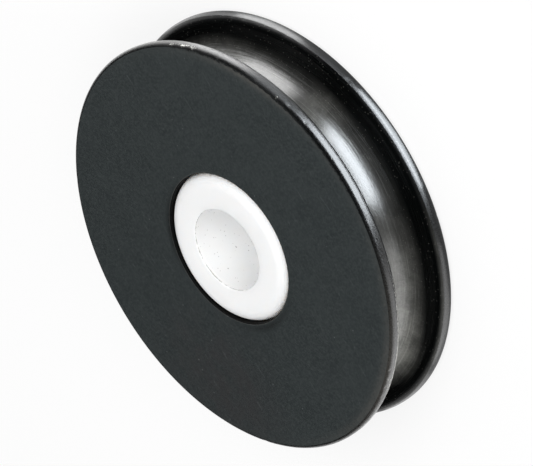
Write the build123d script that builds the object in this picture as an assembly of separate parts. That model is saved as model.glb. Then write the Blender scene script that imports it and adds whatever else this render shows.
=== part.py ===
from build123d import *

import os

# A wire rope sheave, in millimetres. It is two pieces: a turned steel wheel with
# a round-bottomed rope groove, and a plain plastic bush pressed into its bore.
# The sheave turns about Z. The origin lies on that axis, halfway across the width.

# --- Driving dimensions -------------------------------------------------------

# The wheel
wheel_diameter = 50.0
flange_wall = 1.7           # thickness of each flange beside the groove
rim_face_rounding = 0.45    # edge of each rim towards the outer face
rim_groove_rounding = 1.1   # edge of each rim towards the rope
least_rim_land = 0.1        # flat kept between roundings when a wall gets thin

# The rope groove
groove_radius = 3.2         # round bottom, a little over half of a 6 mm rope
groove_depth = 5.1          # from the rim to the bottom

# The seat for the bush
seat_diameter = 18.5
seat_edge_break = 0.1       # small chamfer at each end of the seat

# The bush
pin_diameter = 10.0         # nominal size of the bush's bore
bush_proud = 0.3            # how far it stands beyond each face of the wheel
bush_corner_rounding = 1.65
bush_mouth_rounding = 0.15
press_interference = 0.0    # bush over seat, on the diameter: line to line

# --- Sizes that follow ----------------------------------------------------------

wheel_radius = wheel_diameter / 2
wheel_width = 2 * (groove_radius + flange_wall)
groove_centre_radius = wheel_radius - groove_depth + groove_radius
seat_radius = seat_diameter / 2

bush_radius = (seat_diameter + press_interference) / 2
bush_length = wheel_width + 2 * bush_proud
bore_radius = pin_diameter / 2

# The rounding on the rope side is limited by the flange it is cut in, both across
# the rim and down the straight part of the groove's wall.
room_across_rim = flange_wall - rim_face_rounding - least_rim_land
room_down_wall = groove_depth - groove_radius - least_rim_land
lip_rounding = min(rim_groove_rounding, room_across_rim, room_down_wall)


# --- The wheel --------------------------------------------------------------------

def cut_rope_groove():
    """Take the rope groove out of the section: a round bottom and straight walls."""
    with Locations((groove_centre_radius, 0)):
        Circle(groove_radius, mode=Mode.SUBTRACT)
        Rectangle(
            groove_depth,
            2 * groove_radius,
            align=(Align.MIN, Align.CENTER),
            mode=Mode.SUBTRACT,
        )


def make_wheel():
    """Turn the wheel: one section with its groove and edges, revolved once."""
    with BuildPart() as wheel:
        with BuildSketch(Plane.XZ) as section:
            with Locations((seat_radius, 0)):
                Rectangle(
                    wheel_radius - seat_radius,
                    wheel_width,
                    align=(Align.MIN, Align.CENTER),
                )
            cut_rope_groove()

            # The rims: first the two lips of the groove, then the outer corners.
            lips = section.vertices().group_by(Axis.X)[-1].sort_by(Axis.Y)[1:-1]
            fillet(lips, lip_rounding)
            rim_points = section.vertices().group_by(Axis.X)[-1].sort_by(Axis.Y)
            fillet([rim_points[0], rim_points[-1]], rim_face_rounding)

            seat_ends = section.vertices().group_by(Axis.X)[0]
            chamfer(seat_ends, seat_edge_break)
        revolve(axis=Axis.Z)
    return wheel.part


# --- The bush ---------------------------------------------------------------------

def make_bush():
    """Make the bush: a thick-walled sleeve with rounded corners and mouths."""
    with BuildPart() as bush:
        with BuildSketch(Plane.XZ) as section:
            with Locations((bore_radius, 0)):
                Rectangle(
                    bush_radius - bore_radius,
                    bush_length,
                    align=(Align.MIN, Align.CENTER),
                )
            corners = section.vertices().group_by(Axis.X)[-1]
            fillet(corners, bush_corner_rounding)
            mouths = section.vertices().group_by(Axis.X)[0]
            fillet(mouths, bush_mouth_rounding)
        revolve(axis=Axis.Z)
    return bush.part


# --- Write the pieces ---------------------------------------------------------------

os.makedirs("parts", exist_ok=True)
export_step(make_wheel(), "parts/wheel.step")
export_step(make_bush(), "parts/bush.step")

print(f"wheel {wheel_diameter:.1f} across and {wheel_width:.1f} wide")
print(f"groove bottom {wheel_diameter - 2 * groove_depth:.1f} across")
print(f"bush {bush_length:.1f} long, {bush_radius * 2:.1f} outside, {pin_diameter:.1f} bore")
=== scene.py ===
# %% [markdown]
# # A wire rope sheave
# The object is two pieces: a turned steel wheel with a deep groove for the rope,
# blackened all over, and a plain white plastic bush pressed into its middle.
# The solid model is loaded first and never moved. Everything below dresses it.

import math

import bpy
from mathutils import Matrix, Vector


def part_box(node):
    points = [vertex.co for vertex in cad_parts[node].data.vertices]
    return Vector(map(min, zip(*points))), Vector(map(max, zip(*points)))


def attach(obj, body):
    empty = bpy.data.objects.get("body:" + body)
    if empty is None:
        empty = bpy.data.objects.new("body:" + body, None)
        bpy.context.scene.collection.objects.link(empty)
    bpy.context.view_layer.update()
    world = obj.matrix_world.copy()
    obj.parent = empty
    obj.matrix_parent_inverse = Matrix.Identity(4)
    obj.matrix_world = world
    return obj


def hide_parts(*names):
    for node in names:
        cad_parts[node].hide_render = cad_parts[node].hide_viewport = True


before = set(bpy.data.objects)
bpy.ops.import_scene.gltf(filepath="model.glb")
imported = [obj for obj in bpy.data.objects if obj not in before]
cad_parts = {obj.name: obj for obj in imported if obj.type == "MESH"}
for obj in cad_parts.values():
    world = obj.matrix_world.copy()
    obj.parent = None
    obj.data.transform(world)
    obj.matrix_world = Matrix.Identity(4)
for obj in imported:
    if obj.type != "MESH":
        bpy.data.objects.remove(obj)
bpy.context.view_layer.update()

# Both solids are centred, so the high corner of each box gives its radius and half length.
MM = 0.001
rim_radius, _, half_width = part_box("wheel")[1]
seat_radius, _, bush_half_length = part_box("bush")[1]
print("pieces in the solid model:", ", ".join(sorted(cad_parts)))
print(f"wheel {2 * rim_radius / MM:.1f} mm across, {2 * half_width / MM:.1f} mm wide")
print(f"bush {2 * seat_radius / MM:.1f} mm across, {2 * bush_half_length / MM:.1f} mm long")

# %% [markdown]
# ## Camera
# The sheave lies flat. The camera looks down on it from the front, far off with a
# long lens so that the circles stay calm ellipses, and it is rolled about its own
# axis so that the wheel stands up in the frame, leaning to the left.

# %% Place the camera
camera_elevation = math.radians(35.98)
camera_roll = math.radians(-120.64)
camera_distance = 443.4 * MM
camera_lens = 271.0
aim = Vector((-0.62 * MM, -7.85 * MM, half_width))

tilt_down = Matrix.Rotation(math.pi / 2 - camera_elevation, 4, "X")
roll_over = Matrix.Rotation(camera_roll, 4, "Z")
view_axis = Vector((0, -math.cos(camera_elevation), math.sin(camera_elevation)))

camera_data = bpy.data.cameras.new("camera")
camera_data.lens = camera_lens
camera_data.clip_end = 20
camera = bpy.data.objects.new("camera", camera_data)
camera.matrix_world = Matrix.Translation(aim + view_axis * camera_distance) @ tilt_down @ roll_over
bpy.context.scene.collection.objects.link(camera)
bpy.context.scene.camera = camera
print("camera at", [round(c / MM) for c in camera.location], "mm")


# %% [markdown]
# ## Helpers for colours and nodes
# Colours are written as the hex values that a colour picker shows, and one
# function turns them into the linear light that Blender works in. Another adds a
# shader node with its settings and links, so that a material reads from top to
# bottom like a recipe.

# %% Colours
def linear(hex_colour):
    """Linear RGBA from an sRGB hex colour such as "33383a"."""
    channels = [int(hex_colour[i:i + 2], 16) / 255 for i in (0, 2, 4)]
    light = [c / 12.92 if c <= 0.04045 else ((c + 0.055) / 1.055) ** 2.4 for c in channels]
    return (*light, 1.0)


print("charcoal 33383a in linear light:", [round(c, 4) for c in linear("33383a")[:3]])


# %% Nodes
def add(tree, kind, inputs=None, **settings):
    """Add one node, set its properties, and fill or link the inputs that it shows.

    An input is given by its name, or by its number among the ones shown. A node
    given as a value stands for the first output that it shows."""
    node = tree.nodes.new(kind)
    for name, value in settings.items():
        setattr(node, name, value)
    shown = [socket for socket in node.inputs if socket.enabled]
    for key, value in (inputs or {}).items():
        socket = shown[key] if isinstance(key, int) else next(s for s in shown if s.name == key)
        if isinstance(value, bpy.types.Node):
            value = next(output for output in value.outputs if output.enabled)
        if isinstance(value, bpy.types.NodeSocket):
            tree.links.new(value, socket)
        else:
            socket.default_value = value
    return node


def empty_tree(owner):
    """Switch on the nodes of a material or world, and return its tree, emptied."""
    owner.use_nodes = True
    owner.node_tree.nodes.clear()
    return owner.node_tree


# %% [markdown]
# ## Floor
# A plain white table top, matt and wide. It could be left to the lamps alone, but
# then a white floor comes out grey. Seen by the camera or in a reflection it glows
# a little, as an overlit table does, so that it is white and the shadow stays pale.

# %% Make the floor
floor_radius = 3.0
floor_glow = 0.8

bpy.ops.mesh.primitive_circle_add(
    vertices=96, radius=floor_radius, fill_type="NGON", location=(0, 0, -bush_half_length)
)
floor = bpy.context.object
floor.name = "floor"

# %% The white table top
table = bpy.data.materials.new("white_table_top")
tree = empty_tree(table)
paper = add(tree, "ShaderNodeBsdfDiffuse", {"Color": linear("fcfcfc")})
glow = add(tree, "ShaderNodeEmission", {"Color": linear("ffffff"), "Strength": 1.0})
ray = add(tree, "ShaderNodeLightPath")
seen = add(tree, "ShaderNodeMath", {
    0: ray.outputs["Is Camera Ray"], 1: ray.outputs["Is Glossy Ray"],
}, operation="ADD")
seen = add(tree, "ShaderNodeMath", {
    0: seen, 1: ray.outputs["Is Transmission Ray"],
}, operation="ADD", use_clamp=True)
share = add(tree, "ShaderNodeMath", {0: seen, 1: floor_glow}, operation="MULTIPLY")
mix = add(tree, "ShaderNodeMixShader", {0: share, 1: paper, 2: glow})
add(tree, "ShaderNodeOutputMaterial", {"Surface": mix})
floor.data.materials.append(table)
print(f"floor {2 * floor_radius:.0f} m across, {bush_half_length / MM:.1f} mm below the middle of the wheel")

# %% [markdown]
# ## Light
# Black polished things show their surroundings more than themselves. So there are
# two kinds of light here. A wide soft key and ceiling light everything evenly and
# are kept out of reflections. Low soft panels around the wheel are seen only in
# reflections, as the broad streaks along the groove and the rims. Behind both is a
# dim room, paler near the horizon.

# %% The dim room
horizon_light = 0.8
low_light = (0.12, 0.125, 0.125)
overhead_light = 0.015
horizon_ends, low_ends, overhead_starts = 0.02, 0.3, 0.85     # share of the way up

room = bpy.data.worlds.new("dim_room")
bpy.context.scene.world = room
tree = empty_tree(room)
where = add(tree, "ShaderNodeTexCoord")
height = add(tree, "ShaderNodeSeparateXYZ", {"Vector": where.outputs["Generated"]})
fade = add(tree, "ShaderNodeValToRGB", {"Fac": height.outputs["Z"]})
fade.color_ramp.elements[0].position = horizon_ends
fade.color_ramp.elements[0].color = (*[horizon_light] * 3, 1)
fade.color_ramp.elements[1].position = overhead_starts
fade.color_ramp.elements[1].color = (*[overhead_light] * 3, 1)
part_way = fade.color_ramp.elements.new(low_ends)
part_way.color = (*low_light, 1)
air = add(tree, "ShaderNodeBackground", {"Color": fade.outputs["Color"], "Strength": 1.0})
add(tree, "ShaderNodeOutputWorld", {"Surface": air})
print(f"room light at the horizon {horizon_light}, overhead {overhead_light}")


# %% A helper for lamps
def place_lamp(name, middle, across, upward, wide, high, radiance, tint):
    """A flat soft lamp of one radiance all over. It shines away from across x upward."""
    lamp = bpy.data.lights.new(name, "AREA")
    lamp.shape = "RECTANGLE"
    lamp.size = wide
    lamp.size_y = high
    lamp.energy = radiance * math.pi * wide * high
    lamp.color = linear(tint)[:3]
    panel = bpy.data.objects.new(name, lamp)
    turn_to = Matrix((across, upward, across.cross(upward))).transposed().to_4x4()
    panel.matrix_world = Matrix.Translation(middle) @ turn_to
    panel.visible_camera = False
    bpy.context.scene.collection.objects.link(panel)
    print(f"{name}: {wide / MM:.0f} by {high / MM:.0f} mm, {lamp.energy * 1000:.2f} mW")
    return panel


# %% [markdown]
# The key hangs in front of the wheel, a little higher than the camera, so that it
# reaches the bore as well as the faces. The ceiling fills what the key leaves.

# %% The key and the ceiling
key_elevation = math.radians(43)
key_distance = 0.7
key_size = (0.9, 0.7)
key_radiance = 2.5
ceiling_middle = Vector((0, -0.2, 0.6))
ceiling_size = (1.6, 1.4)
ceiling_radiance = 0.7
sideways = Vector((1, 0, 0))

key_axis = Vector((0, -math.cos(key_elevation), math.sin(key_elevation)))
key_upward = Vector((0, math.sin(key_elevation), math.cos(key_elevation)))
key = place_lamp(
    "key", key_axis * key_distance, sideways, key_upward, *key_size, key_radiance, "ffffff",
)
ceiling = place_lamp(
    "ceiling", ceiling_middle, sideways, Vector((0, 1, 0)), *ceiling_size, ceiling_radiance, "ffffff",
)
for lamp in (key, ceiling):
    lamp.visible_glossy = False


# %% [markdown]
# The low panels are bent like the side of a bowl: each is three flat strips that
# climb away from the wheel, and a fourth that stands low beside the lower rim, the
# only thing to see it. The lower strips show in the rims, and the upper ones climb
# the round bottom of the groove. A glowing mesh could do the same, but it would
# light the wheel as well, and a lamp can be kept to reflections.

# %% Places around the wheel
def round_wheel(azimuth, reach, height):
    """A point at an azimuth in degrees from the camera's side, towards +X."""
    a = math.radians(azimuth)
    return Vector((reach * math.sin(a), -reach * math.cos(a), height))


# A mirror would turn the view by twice the azimuth. Looking down makes it a little less.
view_turn = 1.8
streak_radius = 23 * MM


def seen_at(azimuth, reach):
    """Where a reflection at an azimuth of the rim looks, at a reach from the axis."""
    looks = view_turn * azimuth
    turned = math.radians(looks - azimuth)
    return looks - math.degrees(math.asin(streak_radius * math.sin(turned) / reach))


print(f"30 degrees round, the rim shows what hangs {seen_at(30, 50 * MM):.0f} degrees round")


# %% The low panels
# Strip by strip: reach from the axis and height above the table of its foot and of
# its head, in mm, and its share of the light.
bowl = [
    ((25.5, 0.3), (25.6, 1.4), 0.7), ((29, 0.5), (38, 4.5), 0.8),
    ((38, 4.5), (54, 13), 1.0), ((54, 13), (80, 31), 0.9),
]


def low_panel(name, first, last, radiance, tint, steep=1.0):
    """Strips climbing away from the rim, reflected between two azimuths of it."""
    for k, ((near, near_height), (far, far_height), share) in enumerate(bowl):
        reach = (near + far) / 2 * MM
        start, end = seen_at(first, reach), seen_at(last, reach)
        azimuth = (start + end) / 2
        wide = 2 * reach * math.tan(math.radians(abs(end - start) / 2))
        foot = round_wheel(azimuth, near * MM, near_height * steep * MM - bush_half_length)
        head = round_wheel(azimuth, far * MM, far_height * steep * MM - bush_half_length)
        slope = head - foot
        across = Vector((0, 0, 1)).cross(round_wheel(azimuth, 1, 0))
        panel = place_lamp(
            f"{name}_{k}", (foot + head) / 2, across, slope.normalized(),
            wide, slope.length, radiance * share, tint,
        )
        panel.visible_diffuse = False


# %% Hang the low panels
low_panel("front_panel", first=-11, last=17, radiance=32, tint="f2f9ff")
low_panel("right_panel", first=36, last=58, radiance=15.5, tint="ffffff", steep=1.25)
low_panel("right_back_panel", first=60, last=86, radiance=2.2, tint="ffffff")
low_panel("left_panel", first=-64, last=-27, radiance=3.7, tint="ffffff", steep=1.15)
low_panel("left_back_panel", first=-86, last=-66, radiance=1.6, tint="ffffff")


# %% [markdown]
# ## Shapes by turning
# Both pieces came off a lathe, and so do their meshes: half a section is drawn as
# points, mirrored, and turned about the axis. A screw modifier would also do it,
# but building the rings by hand lets each ring carry its finish and its wear.

# %% Arcs of a section
def arc(centre_r, centre_z, radius, start, end, steps):
    """Points of an arc in the section plane, angles in degrees from the +r axis to +z."""
    points = []
    for k in range(steps + 1):
        angle = math.radians(start + (end - start) * k / steps)
        points.append((centre_r + radius * math.cos(angle), centre_z + radius * math.sin(angle)))
    return points


def finished(points, finish):
    """The same points, each with the number of its finish."""
    return [(r, z, finish) for r, z in points]


print("middle of a quarter arc of 1 mm:", [round(c, 3) for c in arc(0, 0, 1, 0, 90, 2)[1]])


# %% Points and faces of a turned piece
def turned_points(section, segments, marks, dent):
    """The points of every ring, and the named values that each carries."""
    verts, painted = [], {}
    for s in range(segments):
        azimuth = 360 * s / segments - 180
        for r, z, _ in section:
            for key, value in (marks(azimuth, r, z) if marks else {}).items():
                painted.setdefault(key, []).append(value)
            push = dent(azimuth, r, z) if dent else 0
            verts.append(round_wheel(azimuth, (r - push) * MM, z * MM))
    return verts, painted


def turned_faces(section, segments, middle):
    """Four-sided faces between the rings, and the finish of each."""
    count = len(section)
    faces, finishes = [], []
    for s in range(segments):
        here = s * count
        there = ((s + 1) % segments) * count
        for k in range(count):
            n = (k + 1) % count
            faces.append((here + k, there + k, there + n, here + n))
            finishes.append(section[k][2] if k < middle else section[n][2])
    return faces, finishes


# %% The lathe
sharp_corner = math.radians(28)


def lathe(name, half, segments, marks=None, dent=None):
    """Turn a mirrored half section, (r, z, finish) in mm, about Z.

    marks gives named values at a point, and dent how far it is pushed in, both from
    its azimuth in degrees, r and z."""
    section = half + [(r, -z, f) for r, z, f in reversed(half[1:-1])]
    verts, painted = turned_points(section, segments, marks, dent)
    faces, finishes = turned_faces(section, segments, len(half) - 1)
    mesh = bpy.data.meshes.new(name)
    mesh.from_pydata(verts, [], faces)
    mesh.polygons.foreach_set("material_index", finishes)
    mesh.polygons.foreach_set("use_smooth", [True] * len(faces))
    for key, values in painted.items():
        mesh.attributes.new(key, "FLOAT", "POINT").data.foreach_set("value", values)
    mesh.update()
    mesh.set_sharp_from_angle(angle=sharp_corner)
    piece = bpy.data.objects.new(name, mesh)
    bpy.context.scene.collection.objects.link(piece)
    print(f"{name}: {len(section)} points round the section, {len(faces)} faces")
    return piece


# %% [markdown]
# ## The wheel's section
# The real wheel is turned from bar, and the groove is cut with a round-nosed tool.
# The rope lies in a groove with a round bottom, a little wider than the rope, so
# that the rope is held along its side and not pinched. The walls stand straight
# and the rims are well rounded towards the rope, so that no edge can cut it. Each
# point carries a finish. The inner part of each lip shares the finish of the wall.

# %% Draw the wheel's section
FACE, RIM, GROOVE, WALL, SEAT = range(5)
R = rim_radius / MM
W = half_width / MM
S = seat_radius / MM
groove_half = 3.2
groove_centre = 23.1
lip = 1.1
corner = 0.45
edge_break = 0.1
polish_ends = -35       # degrees round the lip, where the rim's polish gives way to soot
turning_starts = 115    # degrees round the bottom, where the wall's soot gives way to rings
guard = 0.06            # a ring this close to an arc keeps the straight wall straight

# The face has more rings near its edges, where its wear is drawn.
near_seat = [S + gap for gap in (0.22, 0.35, 0.6, 0.9, 1.3)]
face_rings = near_seat + [12.5, 15, 18, 21, 22.4, 23, 23.4, 23.7, 24, 24.25, 24.47]

wheel_half = finished([(S, 0.0), (S, 3.0), (S, W - edge_break)], SEAT)
wheel_half += finished([(S + edge_break, W)] + [(r, W) for r in face_rings], FACE)
wheel_half += finished(arc(R - corner, W - corner, corner, 90, 0, 9), RIM)
wheel_half += finished(arc(R - lip, groove_half + lip, lip, 0, polish_ends, 6)[:-1], RIM)
wheel_half += finished(arc(R - lip, groove_half + lip, lip, polish_ends, -90, 8), WALL)
wheel_half += finished([(R - lip - guard, groove_half), (groove_centre + guard, groove_half)], WALL)
wheel_half += finished(arc(groove_centre, 0, groove_half, 90, turning_starts, 5)[:-1], WALL)
wheel_half += finished(arc(groove_centre, 0, groove_half, turning_starts, 180, 13), GROOVE)
print(f"groove {2 * groove_half} mm wide and {R - groove_centre + groove_half:.1f} mm deep")


# %% [markdown]
# ## Wear, and painted light and shade, on the wheel
# The black skin is only thousandths of a millimetre thick, so knocks on the rims
# go through it. The nicks are real dents in the mesh. The rest of the wear, and
# some painted light and shade, is stored in the mesh as six numbers at each point,
# which the materials read: bare metal, rubbing with a painted highlight round the
# seat's edge, dulled gloss, dust, painted shade beside the bush, and a painted
# dark line along the face's outer edge. A painted image would need the wheel
# unwrapped, and a number at each point doesn't.

# %% Nicks in the rims
# Azimuth in degrees, z and length in mm, depth in mm.
nicks = [
    (65.5, 4.75, 0.5, 0.05), (61.0, 4.70, 0.6, 0.08), (57.5, 4.75, 0.5, 0.06), (48.5, 4.80, 0.3, 0.06),
    (35.0, 4.80, 0.3, 0.05), (27.5, 4.80, 0.4, 0.07), (23.5, 4.60, 0.5, 0.08), (17.5, 4.60, 0.4, 0.07),
    (6.0, 4.75, 0.3, 0.05), (-3.5, 4.30, 0.4, 0.06), (-11.0, 4.65, 0.3, 0.05), (-31.0, 4.60, 0.3, 0.04),
    (-55.0, 4.70, 0.5, 0.06), (-58.5, 4.55, 0.6, 0.08), (-61.5, 4.65, 0.6, 0.08), (-65.0, 4.60, 0.6, 0.06),
    (24.5, -3.60, 0.4, 0.06), (21.5, -3.90, 0.5, 0.07), (58.0, -3.60, 0.4, 0.04), (140.0, 4.65, 0.5, 0.06),
    (171.0, 4.60, 0.4, 0.06), (-122.0, 4.70, 0.5, 0.06), (-150.0, -4.60, 0.5, 0.07), (95.0, -4.60, 0.5, 0.07),
    (-20.0, -4.65, 0.4, 0.05), (-160.0, -4.65, 0.5, 0.06),
    (62.5, -3.65, 0.4, 0.05), (66.5, -3.75, 0.3, 0.06), (71.0, -3.65, 0.4, 0.05), (43.0, -3.70, 0.3, 0.05),
]

# %% How deep the nicks go
nick_width = 0.16


def bell(value, middle, spread):
    """1 at the middle, falling smoothly to nothing over a few spreads."""
    return math.exp(-((value - middle) / spread) ** 2)


def nick_depth(azimuth, r, z):
    """How deep the nicks go at a point, in mm."""
    if r < R - 0.6:
        return 0
    deepest = 0
    for at, level, length, depth in nicks:
        turn_away = (azimuth - at + 180) % 360 - 180
        if abs(turn_away) < 4 and abs(z - level) < 1:
            along = math.radians(turn_away) * R
            deepest = max(deepest, depth * bell(along, 0, length / 2) * bell(z, level, nick_width))
    return deepest


print(f"{len(nicks)} nicks, the deepest {max(depth for _, _, _, depth in nicks)} mm")


# %% [markdown]
# Wear, and the painted shade beside the bush and along the face's edge, comes in
# patches. Each is an amount, the azimuth of its middle and its spread in degrees.
# Where it is also a line, a height on the rim or a radius on the face follows, and
# the line's width, in mm. Nothing is drawn at random, so that the wheel comes out
# the same each time.

# %% Patches of wear and of painted shade
worn_lines = [(1.2, -50, 20, 3.7, 0.28), (0.3, -61, 7, 4.2, 0.3), (0.35, 61, 6, 4.7, 0.15)]
rubbed_rim = [(0.9, -55, 26, W, 0.3), (0.6, 78, 22, 4.4, 0.35)]
rubbed_face = [(0.25, 20, 60, 24.3, 0.6), (1.0, 38, 16, 24.3, 0.6), (0.8, -62, 34, 24.3, 0.6)]
painted_shade_by_bush = [(0.85, -94, 28, S + 0.6, 0.4), (1.1, 145, 32, S + 0.2, 0.45)]
scuffs = [(1.0, 32, 7), (0.45, 51, 9), (0.5, 66, 8)]
painted_dark_edge = [(1.0, 28, 50)]


def patches(places, azimuth, across=0):
    """The patches added up at an azimuth, and at a height or radius across them."""
    total = 0
    for amount, middle, spread, *line in places:
        total += amount * bell(azimuth, middle, spread) * (bell(across, *line) if line else 1)
    return total


print("rubbing at -55 degrees, on the rim's edge:", round(patches(rubbed_rim, -55, W), 2))


# %% Dust, point by point
dust_drifts = [(0.4, -38, 12), (1.35, -68, 22), (0.35, 22, 7), (0.5, 80, 26)]
dust_everywhere = 0.2
dust_radius = 22.6      # how far out the film reaches up the groove's side
dust_climbs = [(1.0, -70, 16), (0.5, 80, 22)]
dust_fade = 2.2         # mm over which it thins out
dust_thinning = 1.3
lip_dust = [(0.3, -48, 24)]
lip_dust_height = 3.35
lip_dust_fade = 0.25


def clamp(value):
    """The value, kept between 0 and 1."""
    return min(1, max(0, value))


def dust_film(azimuth, r, z):
    """How thick the dust lies, as drifts in the groove and traces on the lips.

    At 0 there is none, and from 1 up it hides the skin."""
    if r > R - lip:
        return patches(lip_dust, azimuth) * clamp((abs(z) - lip_dust_height) / lip_dust_fade)
    edge = dust_radius + patches(dust_climbs, azimuth)
    drifts = dust_everywhere + patches(dust_drifts, azimuth)
    return drifts * clamp((edge - r) / dust_fade) ** dust_thinning


for azimuth in (-68, 0, 80):
    film = dust_film(azimuth, groove_centre - groove_half, 0)
    print(f"dust in the bottom at {azimuth} degrees: {film:.2f}")


# %% Wear and painted shade, point by point
rim_depth = 0.5
rubbed_from = 22
seat_rim = 0.15
bare_per_mm = 5
dark_edge_from = 24
dark_edge_fade = 0.47


def wear(azimuth, r, z):
    """The six numbers of wear, painted shade and painted highlight at a point of the wheel, about 0 to 1
    each.
    """
    top = z > 0
    bare = bare_per_mm * nick_depth(azimuth, r, z)
    rub_and_sheen, shade_by_bush, dark_edge = 0, 0, 0
    if top and r > R - rim_depth:
        bare += patches(worn_lines, azimuth, z)
        rub_and_sheen = patches(rubbed_rim, azimuth, z)
    elif top and r > rubbed_from:
        rub_and_sheen = patches(rubbed_face, azimuth, r)
    # Round the seat's edge the face is painted paler: partly rubbing, partly a painted highlight on the
    # edge's break.
    elif abs(z) > W - seat_rim and r < S + seat_rim:
        rub_and_sheen = 1.0
    if top:
        # A ring of painted shade lies on the face beside the bush.
        shade_by_bush = patches(painted_shade_by_bush, azimuth, r) if r > S + seat_rim else 0
        # Near the outer edge a ragged line is painted near black: painted shade of the edge's rounding.
        dark_edge = patches(painted_dark_edge, azimuth) * clamp((r - dark_edge_from) / dark_edge_fade)
    return {
        "bare": bare, "rub_and_sheen": rub_and_sheen, "dull": patches(scuffs, azimuth),
        "dust": dust_film(azimuth, r, z), "shade_by_bush": shade_by_bush, "dark_edge": dark_edge,
    }


print("kinds of wear:", ", ".join(wear(0, R, 0)))


# %% Turn the wheel
wheel_segments = 640
wheel_piece = lathe("steel_wheel", wheel_half, wheel_segments, wear, nick_depth)

# %% [markdown]
# ## The bush's section
# The bush stands just proud of both faces, so that it and not the steel rubs on
# the fork. Its outer corners are rounded so that it starts into the seat without
# shaving, which leaves a thin dark gap round it. The bore's mouth is only broken.
# A cylinder with bevels would come close, but the same lathe gives both pieces
# clean rings, and a rounding of its own at each edge.

# %% Turn the bush
bore = 5.0
round_corner = 1.65
mouth = 0.15
L = bush_half_length / MM
ring_gap = 0.05         # a ring this close to an arc keeps the flats flat
bush_segments = 256

bush_half = [(bore, 0.0), (bore, L - mouth - ring_gap)]
bush_half += arc(bore + mouth, L - mouth, mouth, 180, 90, 5)
bush_half += [(bore + mouth + ring_gap, L), (S - round_corner - ring_gap, L)]
bush_half += arc(S - round_corner, L - round_corner, round_corner, 90, 0, 14)
bush_half += [(S, L - round_corner - ring_gap), (S, 0.0)]
bush_piece = lathe("acetal_bush", finished(bush_half, 0), bush_segments)
print(f"bore {2 * bore:.0f} mm, wall {S - bore:.2f} mm")


# %% [markdown]
# ## Patterns in real millimetres
# Procedural patterns have no size of their own. Here every material takes its
# place on the object in millimetres, so a pattern's scale is one over its spacing.
# From the camera's distance grain finer than about 0.15 mm blurs away, so grain is
# drawn 0.2 to 0.3 mm coarse where it has to show.

# %% Place in millimetres, and specks
def millimetres(tree):
    """The place on the object in millimetres, as a node."""
    place = add(tree, "ShaderNodeTexCoord")
    return add(tree, "ShaderNodeVectorMath", {
        "Vector": place.outputs["Object"], "Scale": 1 / MM,
    }, operation="SCALE")


def specks(tree, place, cell, size, share):
    """Tiny round specks: one in a share of the cells, given cell and speck size in mm."""
    cells = add(tree, "ShaderNodeTexVoronoi", {"Vector": place, "Scale": 1 / cell})
    lot = add(tree, "ShaderNodeSeparateColor", {"Color": cells.outputs["Color"]})
    chosen = add(tree, "ShaderNodeMath", {0: lot, 1: 1 - share}, operation="GREATER_THAN")
    dot = add(tree, "ShaderNodeMapRange", {
        "Value": cells.outputs["Distance"], "From Min": size / cell / 2, "From Max": size / cell / 4,
    })
    return add(tree, "ShaderNodeMath", {0: chosen, 1: dot}, operation="MULTIPLY")


# %% [markdown]
# ## The faces: blackened steel, turned
# The wheel is cut from steel bar and dipped until its skin is black iron oxide. On
# the flat faces that skin is matt: a cool charcoal, slightly blotchy, with fine
# grain and a few hairline scratches. It could be one dark colour, but then it would
# look like plastic. The skin is a dark dielectric, not bare metal, so metallic stays
# at 0, and the roughness is near 0.5. The oxide's own index is over 2, but its pores
# hold oil, so the index starts from that of oil, 1.47, on every finish of the wheel.

# %% The charcoal skin
blotch_width = 3.0
grain_width = 0.3

face = bpy.data.materials.new("blackened_steel_turned_face")
tree = empty_tree(face)
place = millimetres(tree)
blotch = add(tree, "ShaderNodeTexNoise", {
    "Vector": place, "Scale": 1 / blotch_width, "Detail": 4.0, "Roughness": 0.6,
})
blotch = add(tree, "ShaderNodeMapRange", {"Value": blotch, "From Min": 0.3, "From Max": 0.7})
colour = add(tree, "ShaderNodeMix", {
    "Factor": blotch, "A": linear("212728"), "B": linear("282e2f"),
}, data_type="RGBA")

grain = add(tree, "ShaderNodeTexNoise", {
    "Vector": place, "Scale": 1 / grain_width, "Detail": 3.0, "Roughness": 0.7,
})
lighter = add(tree, "ShaderNodeMapRange", {
    "Value": grain, "From Min": 0.4, "From Max": 0.65, "To Max": 0.9,
})
colour = add(tree, "ShaderNodeMix", {
    "Factor": lighter, "A": colour, "B": linear("333939"),
}, data_type="RGBA")
print(f"skin of the faces: blotches {blotch_width} mm wide, grain {grain_width} mm")

# %% [markdown]
# In one broad patch the oxide has turned towards brown, as it does where the wheel
# left the bath last. Beside the rims handling has rubbed it paler. Round the seat's
# edge the paler line is partly rubbing and partly a painted highlight on its break.

# %% Brown patch
brown_middle = (-13, 15, 0)
brown_reach = 13        # mm from its middle, where the patch ends
brown_heart = 4         # mm from its middle, where it is at its brownest

drift = add(tree, "ShaderNodeVectorMath", {0: place, 1: brown_middle}, operation="DISTANCE")
brown = add(tree, "ShaderNodeMapRange", {
    "Value": drift, "From Min": brown_reach, "From Max": brown_heart, "To Max": 0.8,
})
brown = add(tree, "ShaderNodeMath", {0: brown, 1: blotch}, operation="MULTIPLY")
colour = add(tree, "ShaderNodeMix", {
    "Factor": brown, "A": colour, "B": linear("2e2a2b"),
}, data_type="RGBA")
print(f"brown patch {2 * brown_reach} mm across")

# %% Rubbed edges, and a painted highlight round the seat
smudge_width = 0.4

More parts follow.
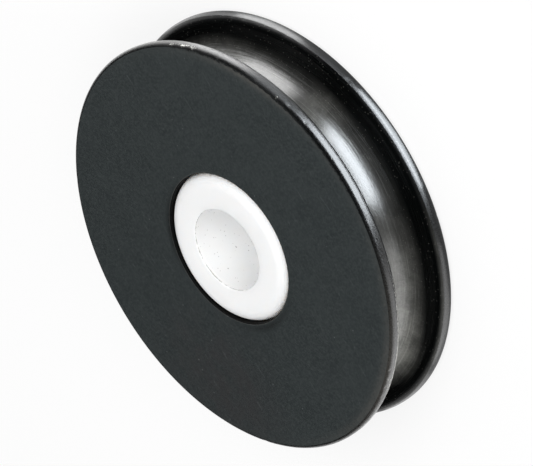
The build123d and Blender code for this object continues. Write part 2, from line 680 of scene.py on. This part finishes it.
rub_and_sheen = add(tree, "ShaderNodeAttribute", attribute_name="rub_and_sheen")
smudge = add(tree, "ShaderNodeTexNoise", {
    "Vector": place, "Scale": 1 / smudge_width, "Detail": 5.0, "Roughness": 0.7,
})
rubbed_and_sheen = add(tree, "ShaderNodeMapRange", {
    "Value": smudge, "From Min": 0.35, "From Max": 0.7, "To Min": 0.15, "To Max": 0.6,
})
rubbed_and_sheen = add(tree, "ShaderNodeMath", {0: rub_and_sheen.outputs["Fac"], 1: rubbed_and_sheen}, operation="MULTIPLY")
colour = add(tree, "ShaderNodeMix", {
    "Factor": rubbed_and_sheen, "A": colour, "B": linear("5d5a55"),
}, data_type="RGBA")
print(f"rubbed paler in smudges of {smudge_width} mm")

# %% Hairline scratches
# Each set of scratches is the thin middle line of a stretched noise, kept only in
# places. Turned and moved, it gives another set.
scratch_sets = ((35, 0.0), (-50, 40.0), (80, 90.0))
scratch_run = 10.0      # mm before a scratch wanders
scratch_rows = 1.4      # rows of scratches to a millimetre
scratch_breaks = 2.2    # pieces to a run
hair_width = 0.006      # how far from the noise's middle value a line reaches

for turned, seed in scratch_sets:
    laid = add(tree, "ShaderNodeMapping", {
        "Vector": place, "Location": (seed, seed, 0), "Rotation": (0, 0, math.radians(turned)),
        "Scale": (1 / scratch_run, scratch_rows, 1),
    })
    hair = add(tree, "ShaderNodeTexNoise", {"Vector": laid, "Scale": 1.0, "Detail": 1.0})
    off_line = add(tree, "ShaderNodeMath", {0: hair, 1: 0.5}, operation="SUBTRACT")
    off_line = add(tree, "ShaderNodeMath", {0: off_line}, operation="ABSOLUTE")
    line = add(tree, "ShaderNodeMapRange", {
        "Value": off_line, "From Min": hair_width, "From Max": hair_width / 3, "To Max": 0.12,
    })
    patch = add(tree, "ShaderNodeTexNoise", {"Vector": laid, "Scale": scratch_breaks, "Detail": 0.0})
    kept = add(tree, "ShaderNodeMapRange", {"Value": patch, "From Min": 0.6, "From Max": 0.68})
    line = add(tree, "ShaderNodeMath", {0: line, 1: kept}, operation="MULTIPLY")
    colour = add(tree, "ShaderNodeMix", {
        "Factor": line, "A": colour, "B": linear("747a7a"),
    }, data_type="RGBA")
print(f"{len(scratch_sets)} sets of scratches, each about {scratch_run / scratch_breaks:.1f} mm long")

# %% Specks and pits
speck_size = 0.2
speck_strength = 0.3
pit_strength = 0.45

dust_specks = specks(tree, place, cell=1.3, size=speck_size, share=0.3)
dust_specks = add(tree, "ShaderNodeMath", {0: dust_specks, 1: speck_strength}, operation="MULTIPLY")
colour = add(tree, "ShaderNodeMix", {
    "Factor": dust_specks, "A": colour, "B": linear("8d9292"),
}, data_type="RGBA")
pits = specks(tree, place, cell=0.7, size=speck_size, share=0.4)
pits = add(tree, "ShaderNodeMath", {0: pits, 1: pit_strength}, operation="MULTIPLY")
colour = add(tree, "ShaderNodeMix", {
    "Factor": pits, "A": colour, "B": linear("161a1b"),
}, data_type="RGBA")
print(f"pale specks and dark pits, {speck_size} mm across")

# %% [markdown]
# A dark ring is painted on the face beside the bush: painted shade where the bush
# meets it. Round part of the outer edge a thin ragged line is painted near black:
# painted shade where the edge's rounding turns away. Both are broken up by the
# grain, so that neither ends in a smooth curve.

# %% Painted shade by the bush and along the outer edge
shade_by_bush = add(tree, "ShaderNodeAttribute", attribute_name="shade_by_bush")
shaded_by_bush = add(tree, "ShaderNodeMapRange", {
    "Value": grain, "From Min": 0.4, "From Max": 0.58, "To Min": 0.3,
})
shaded_by_bush = add(tree, "ShaderNodeMath", {0: shade_by_bush.outputs["Fac"], 1: shaded_by_bush}, operation="MULTIPLY")
colour = add(tree, "ShaderNodeMix", {
    "Factor": shaded_by_bush, "A": colour, "B": linear("070808"),
}, data_type="RGBA")

dark_edge = add(tree, "ShaderNodeAttribute", attribute_name="dark_edge")
ragged = add(tree, "ShaderNodeMapRange", {
    "Value": grain, "From Min": 0.3, "From Max": 0.7, "To Min": -0.35, "To Max": 0.35,
})
ragged = add(tree, "ShaderNodeMath", {0: dark_edge.outputs["Fac"], 1: ragged}, operation="ADD")
dark_line = add(tree, "ShaderNodeMapRange", {"Value": ragged, "From Min": 0.55, "From Max": 0.75})
colour = add(tree, "ShaderNodeMix", {
    "Factor": dark_line, "A": colour, "B": linear("050606"),
}, data_type="RGBA")
# Oil here is the painted shade beside the bush, and chips is the painted dark line near the edge.
print(f"oil {S:.1f} mm from the axis, chips beyond {dark_edge_from} mm, both over the grain")

# %% Gloss and relief of the faces
face_roughness = (0.46, 0.56)
face_index = 1.5
face_relief = 0.01 * MM

gloss = add(tree, "ShaderNodeMapRange", {
    "Value": grain, "From Min": 0.3, "From Max": 0.7,
    "To Min": face_roughness[0], "To Max": face_roughness[1],
})
relief = add(tree, "ShaderNodeBump", {"Height": grain, "Strength": 0.3, "Distance": face_relief})
shader = add(tree, "ShaderNodeBsdfPrincipled", {
    "Base Color": colour, "Roughness": gloss, "Normal": relief, "IOR": face_index,
})
add(tree, "ShaderNodeOutputMaterial", {"Surface": shader})
print(f"faces: matt charcoal oxide, roughness {face_roughness}, index {face_index}")

# %% [markdown]
# ## The rims: blackened steel, rubbed
# The rims were polished before blackening and then knocked about. They are deeper
# black and shinier than the faces, scuffed dull in places, and at the nicks and
# along the lip the skin is gone and grey steel shows. A mix by the stored wear alone
# would end in soft smudges. Noise added to it, and cut off sharply, gives the chips
# their ragged edges.

# %% Chips in the skin
chip_width = 0.2

rim = bpy.data.materials.new("blackened_steel_rubbed_rim")
tree = empty_tree(rim)
place = millimetres(tree)
bare = add(tree, "ShaderNodeAttribute", attribute_name="bare")
chips = add(tree, "ShaderNodeTexNoise", {
    "Vector": place, "Scale": 1 / chip_width, "Detail": 5.0, "Roughness": 0.75,
})
ragged = add(tree, "ShaderNodeMapRange", {
    "Value": chips, "From Min": 0.3, "From Max": 0.7, "To Min": -0.45, "To Max": 0.45,
})
worn = add(tree, "ShaderNodeMath", {0: bare.outputs["Fac"], 1: ragged}, operation="ADD")
worn = add(tree, "ShaderNodeMapRange", {"Value": worn, "From Min": 0.35, "From Max": 0.6})
near_wear = add(tree, "ShaderNodeMapRange", {
    "Value": bare.outputs["Fac"], "From Min": 0.05, "From Max": 0.2,
})
worn = add(tree, "ShaderNodeMath", {0: worn, 1: near_wear}, operation="MULTIPLY")
print(f"chips in the rims, {chip_width} mm wide")

# %% Colour of the rims
skin = add(tree, "ShaderNodeMapRange", {"Value": chips, "From Min": 0.4, "From Max": 0.7})
skin = add(tree, "ShaderNodeMix", {
    "Factor": skin, "A": linear("050606"), "B": linear("101112"),
}, data_type="RGBA")
rub_and_sheen = add(tree, "ShaderNodeAttribute", attribute_name="rub_and_sheen")
handled = add(tree, "ShaderNodeMapRange", {
    "Value": chips, "From Min": 0.3, "From Max": 0.7, "To Min": 0.6, "To Max": 1.0,
})
handled = add(tree, "ShaderNodeMath", {0: rub_and_sheen.outputs["Fac"], 1: handled}, operation="MULTIPLY")
skin = add(tree, "ShaderNodeMix", {
    "Factor": handled, "A": skin, "B": linear("413f3c"),
}, data_type="RGBA")
colour = add(tree, "ShaderNodeMix", {
    "Factor": worn, "A": skin, "B": linear("a5a4a0"),
}, data_type="RGBA")

# %% Gloss and relief of the rims
rim_roughness = (0.22, 0.42)
rim_index = 1.36        # scuffs and soot take it below that of oil
rim_relief = 0.03 * MM
scuffed_by = 0.35
steel_share = 0.35

dull = add(tree, "ShaderNodeAttribute", attribute_name="dull")
gloss = add(tree, "ShaderNodeMapRange", {
    "Value": chips, "From Min": 0.35, "From Max": 0.65,
    "To Min": rim_roughness[0], "To Max": rim_roughness[1],
})
gloss = add(tree, "ShaderNodeMath", {
    0: dull.outputs["Fac"], 1: scuffed_by, 2: gloss,
}, operation="MULTIPLY_ADD")
steel = add(tree, "ShaderNodeMath", {0: worn, 1: steel_share}, operation="MULTIPLY")
relief = add(tree, "ShaderNodeBump", {"Height": chips, "Strength": 0.8, "Distance": rim_relief})
shader = add(tree, "ShaderNodeBsdfPrincipled", {
    "Base Color": colour, "Roughness": gloss, "Normal": relief, "IOR": rim_index, "Metallic": steel,
})
add(tree, "ShaderNodeOutputMaterial", {"Surface": shader})
print(f"rims: glossy black oxide, roughness {rim_roughness}, and {scuffed_by} more where scuffed")

# %% [markdown]
# ## The groove: blackened steel, turned fine
# The groove is the shiniest part, because the rope's seat is turned to a fine
# finish. What is left of the tool's track are rings round the axis. They spread a
# reflection across the groove but not along it. That is anisotropy: the tangent
# runs round the axis, and a quarter turn lays the spread across it. A thin film of
# dust lies in the bottom.

# %% Rings of the groove
# The tool moved on 0.1 mm a turn. The rings are drawn 0.3 mm apart so that they show.
ring_spacing = 0.3
ring_run = 8.0          # mm along a ring before it changes


def turned_rings(tree, place):
    """Noise drawn out into rings round the axis."""
    parts = add(tree, "ShaderNodeSeparateXYZ", {"Vector": place})
    flat = add(tree, "ShaderNodeCombineXYZ", {"X": parts.outputs["X"], "Y": parts.outputs["Y"]})
    out = add(tree, "ShaderNodeVectorMath", {0: flat}, operation="LENGTH")
    level = add(tree, "ShaderNodeMath", {0: parts.outputs["Z"]}, operation="ABSOLUTE")
    across = add(tree, "ShaderNodeMath", {0: out, 1: level}, operation="ADD")
    across = add(tree, "ShaderNodeMath", {0: across, 1: 1 / ring_spacing}, operation="MULTIPLY")
    run = add(tree, "ShaderNodeVectorMath", {"Vector": flat, "Scale": 1 / ring_run}, operation="SCALE")
    run = add(tree, "ShaderNodeSeparateXYZ", {"Vector": run})
    rings = add(tree, "ShaderNodeCombineXYZ", {
        "X": across, "Y": run.outputs["X"], "Z": run.outputs["Y"],
    })
    return add(tree, "ShaderNodeTexNoise", {
        "Vector": rings, "Scale": 1.0, "Detail": 4.0, "Roughness": 0.7,
    })


# %% Dust of the groove
cloud_width = 2.0
powder_width = 0.22


def settled_dust(tree, place, lines):
    """Fine powder, and the film of dust, made uneven by clouds, powder and rings."""
    cloud = add(tree, "ShaderNodeTexNoise", {
        "Vector": place, "Scale": 1 / cloud_width, "Detail": 6.0, "Roughness": 0.7,
    })
    powder = add(tree, "ShaderNodeTexNoise", {
        "Vector": place, "Scale": 1 / powder_width, "Detail": 3.0, "Roughness": 0.8,
    })
    dust = add(tree, "ShaderNodeAttribute", attribute_name="dust")
    film = dust.outputs["Fac"]
    for noise, least in ((cloud, 0.5), (powder, 0.75), (lines, 0.75)):
        thick = add(tree, "ShaderNodeMapRange", {
            "Value": noise, "From Min": 0.35, "From Max": 0.65, "To Min": least,
        })
        film = add(tree, "ShaderNodeMath", {0: film, 1: thick}, operation="MULTIPLY")
    return powder, film


# %% Colour of the groove
fleck_strength = 0.22


def dusty_black(tree, place, film):
    """Black oxide under the film of dust, with fine flecks over it."""
    colour = add(tree, "ShaderNodeMix", {
        "Factor": film, "A": linear("040505"), "B": linear("8f8f8a"),
    }, data_type="RGBA")
    flecks = specks(tree, place, cell=0.33, size=0.14, share=0.4)
    flecks = add(tree, "ShaderNodeMath", {0: flecks, 1: fleck_strength}, operation="MULTIPLY")
    return add(tree, "ShaderNodeMix", {
        "Factor": flecks, "A": colour, "B": linear("8c8a84"),
    }, data_type="RGBA")


# %% Gloss and relief of the groove
groove_roughness = (0.19, 0.31)
groove_index = 1.45
ring_relief = 0.028 * MM
powder_relief = 0.007 * MM


def dress_groove(name, shine):
    """Black oxide turned in rings and dusty. shine is the shader's specular level."""
    finish = bpy.data.materials.new(name)
    tree = empty_tree(finish)
    place = millimetres(tree)
    lines = turned_rings(tree, place)
    powder, film = settled_dust(tree, place, lines)
    gloss = add(tree, "ShaderNodeMapRange", {
        "Value": lines, "From Min": 0.3, "From Max": 0.7,
        "To Min": groove_roughness[0], "To Max": groove_roughness[1],
    })
    ridges = add(tree, "ShaderNodeBump", {"Height": lines, "Strength": 1.0, "Distance": ring_relief})
    relief = add(tree, "ShaderNodeBump", {
        "Height": powder, "Strength": 1.0, "Distance": powder_relief, "Normal": ridges,
    })
    around = add(tree, "ShaderNodeTangent", direction_type="RADIAL", axis="Z")
    shader = add(tree, "ShaderNodeBsdfPrincipled", {
        "Base Color": dusty_black(tree, place, film), "Roughness": gloss, "Normal": relief,
        "IOR": groove_index, "Specular IOR Level": shine,
        "Anisotropic": 0.4, "Anisotropic Rotation": 0.25, "Tangent": around,
    })
    add(tree, "ShaderNodeOutputMaterial", {"Surface": shader})
    print(f"{name}: rings {ring_spacing} mm apart, roughness {groove_roughness}, shine {shine}")
    return finish


# %% [markdown]
# The walls beside the rope never touch it. Their oxide is still sooty from the
# bath and swallows light, so they share the groove's patterns with little shine.

# %% Groove and walls
groove = dress_groove("blackened_steel_turned_groove", 0.5)
wall = dress_groove("blackened_steel_sooty_wall", 0.08)

# %% [markdown]
# ## The seat, and the wheel's finishes together
# The bore that holds the bush was never meant to be seen. It is left as bored,
# black and quite matt, and shows only as the dark line round the bush.

# %% Dress the wheel
bored_width = 0.5
seat_roughness = 0.7
seat_index = 1.3        # soot takes it below that of oil

seat = bpy.data.materials.new("blackened_steel_bored_seat")
tree = empty_tree(seat)
place = millimetres(tree)
bored = add(tree, "ShaderNodeTexNoise", {"Vector": place, "Scale": 1 / bored_width, "Detail": 3.0})
colour = add(tree, "ShaderNodeMix", {
    "Factor": bored, "A": linear("040404"), "B": linear("070707"),
}, data_type="RGBA")
shader = add(tree, "ShaderNodeBsdfPrincipled", {
    "Base Color": colour, "Roughness": seat_roughness, "IOR": seat_index,
})
add(tree, "ShaderNodeOutputMaterial", {"Surface": shader})

for finish in (face, rim, groove, wall, seat):
    wheel_piece.data.materials.append(finish)
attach(wheel_piece, "root")
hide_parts("wheel")
print("wheel finishes:", [slot.name for slot in wheel_piece.data.materials])

# %% [markdown]
# ## The bush: white acetal, moulded
# Acetal is the usual plastic for such bushes: milky white, satin, and slightly
# see-through at the surface, which softens its shading. The index is acetal's own,
# 1.48. In the bore grit has marked it with tiny brown specks. A broken grey line is
# painted along the bore's mouth, and painted shade, tinted brown, lies low on the
# outer corner in the gap beside the wheel.

# %% Milky white
milky_width = 2.86

acetal = bpy.data.materials.new("moulded_white_acetal")
tree = empty_tree(acetal)
place = millimetres(tree)
parts = add(tree, "ShaderNodeSeparateXYZ", {"Vector": place})
flat = add(tree, "ShaderNodeCombineXYZ", {"X": parts.outputs["X"], "Y": parts.outputs["Y"]})
out = add(tree, "ShaderNodeVectorMath", {0: flat}, operation="LENGTH")
level = add(tree, "ShaderNodeMath", {0: parts.outputs["Z"]}, operation="ABSOLUTE")

cloud = add(tree, "ShaderNodeTexNoise", {"Vector": place, "Scale": 1 / milky_width, "Detail": 3.0})
cloudy = add(tree, "ShaderNodeMapRange", {"Value": cloud, "From Min": 0.35, "From Max": 0.65})
colour = add(tree, "ShaderNodeMix", {
    "Factor": cloudy, "A": linear("fcfdfd"), "B": linear("fefefe"),
}, data_type="RGBA")
print(f"milky white, clouds {milky_width} mm wide")

# %% Specks in the bore
fine_size, coarse_size = 0.13, 0.2
dot_strength = 0.6

in_bore = add(tree, "ShaderNodeMapRange", {
    "Value": out, "From Min": bore + 0.06, "From Max": bore + 0.02,
})
fine = specks(tree, place, cell=0.4, size=fine_size, share=0.5)
coarse = specks(tree, place, cell=0.9, size=coarse_size, share=0.4)
dots = add(tree, "ShaderNodeMath", {0: fine, 1: coarse}, operation="MAXIMUM")
dots = add(tree, "ShaderNodeMath", {0: dots, 1: in_bore}, operation="MULTIPLY")
dots = add(tree, "ShaderNodeMath", {0: dots, 1: dot_strength}, operation="MULTIPLY")
colour = add(tree, "ShaderNodeMix", {
    "Factor": dots, "A": colour, "B": linear("6d6660"),
}, data_type="RGBA")
print(f"specks in the bore, {fine_size} and {coarse_size} mm across")

# %% A broken grey line along the bore's mouth
grey_line_width = 0.625
line_foot, line_head = L - 0.22, L - 0.03

broken = add(tree, "ShaderNodeTexNoise", {
    "Vector": place, "Scale": 1 / grey_line_width, "Detail": 4.0, "Roughness": 0.7,
})
broken = add(tree, "ShaderNodeMapRange", {
    "Value": broken, "From Min": 0.38, "From Max": 0.6, "To Min": 0.1, "To Max": 0.8,
})
ring_in = add(tree, "ShaderNodeMapRange", {
    "Value": level, "From Min": line_foot, "From Max": line_foot + 0.07,
})
ring_out = add(tree, "ShaderNodeMapRange", {
    "Value": level, "From Min": line_head, "From Max": line_head - 0.07,
})
near_bore = add(tree, "ShaderNodeMapRange", {
    "Value": out, "From Min": bore + 0.2, "From Max": bore + 0.12,
})
# A broken grey line is painted round the bore's mouth.
grey_line = add(tree, "ShaderNodeMath", {0: ring_in, 1: ring_out}, operation="MULTIPLY")
for pattern in (near_bore, broken):
    grey_line = add(tree, "ShaderNodeMath", {0: grey_line, 1: pattern}, operation="MULTIPLY")
colour = add(tree, "ShaderNodeMix", {
    "Factor": grey_line, "A": colour, "B": linear("6f6861"),
}, data_type="RGBA")
print(f"line of dirt from {line_foot:.2f} to {line_head:.2f} mm up, broken every {grey_line_width} mm")

# %% Painted shade round the outer corner, in the gap beside the wheel
corner_top = L - 0.5

low_corner = add(tree, "ShaderNodeMapRange", {
    "Value": level, "From Min": corner_top, "From Max": corner_top - 0.16, "To Max": 0.55,
})
at_corner = add(tree, "ShaderNodeMath", {0: out, 1: S - 0.6}, operation="GREATER_THAN")
# Painted shade, tinted brown, low on the corner where it sinks into the gap.
painted_gap_shade = add(tree, "ShaderNodeMath", {0: low_corner, 1: at_corner}, operation="MULTIPLY")
painted_gap_shade = add(tree, "ShaderNodeMath", {0: painted_gap_shade, 1: broken}, operation="MULTIPLY")
colour = add(tree, "ShaderNodeMix", {
    "Factor": painted_gap_shade, "A": colour, "B": linear("9c8b74"),
}, data_type="RGBA")
print(f"grime from {corner_top:.2f} mm down, in the gap beside the wheel")

# %% Dress the bush
satin = 0.42
acetal_index = 1.48
depth_of_glow = 2.0 * MM
shader = add(tree, "ShaderNodeBsdfPrincipled", {
    "Base Color": colour, "Roughness": satin, "IOR": acetal_index,
    "Subsurface Weight": 0.7, "Subsurface Scale": depth_of_glow, "Subsurface Radius": (1.0, 0.95, 0.9),
})
add(tree, "ShaderNodeOutputMaterial", {"Surface": shader})
bush_piece.data.materials.append(acetal)
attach(bush_piece, "root")
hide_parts("bush")
print(f"bush: satin acetal, roughness {satin}, index {acetal_index}")

# %% [markdown]
# ## Colours as written
# The Standard view shows a colour as it is written, without a film's soft
# shoulder, which would grey the white bush and the table.

# %% Colour management
bpy.context.scene.view_settings.view_transform = "Standard"
print("view:", bpy.context.scene.view_settings.view_transform)
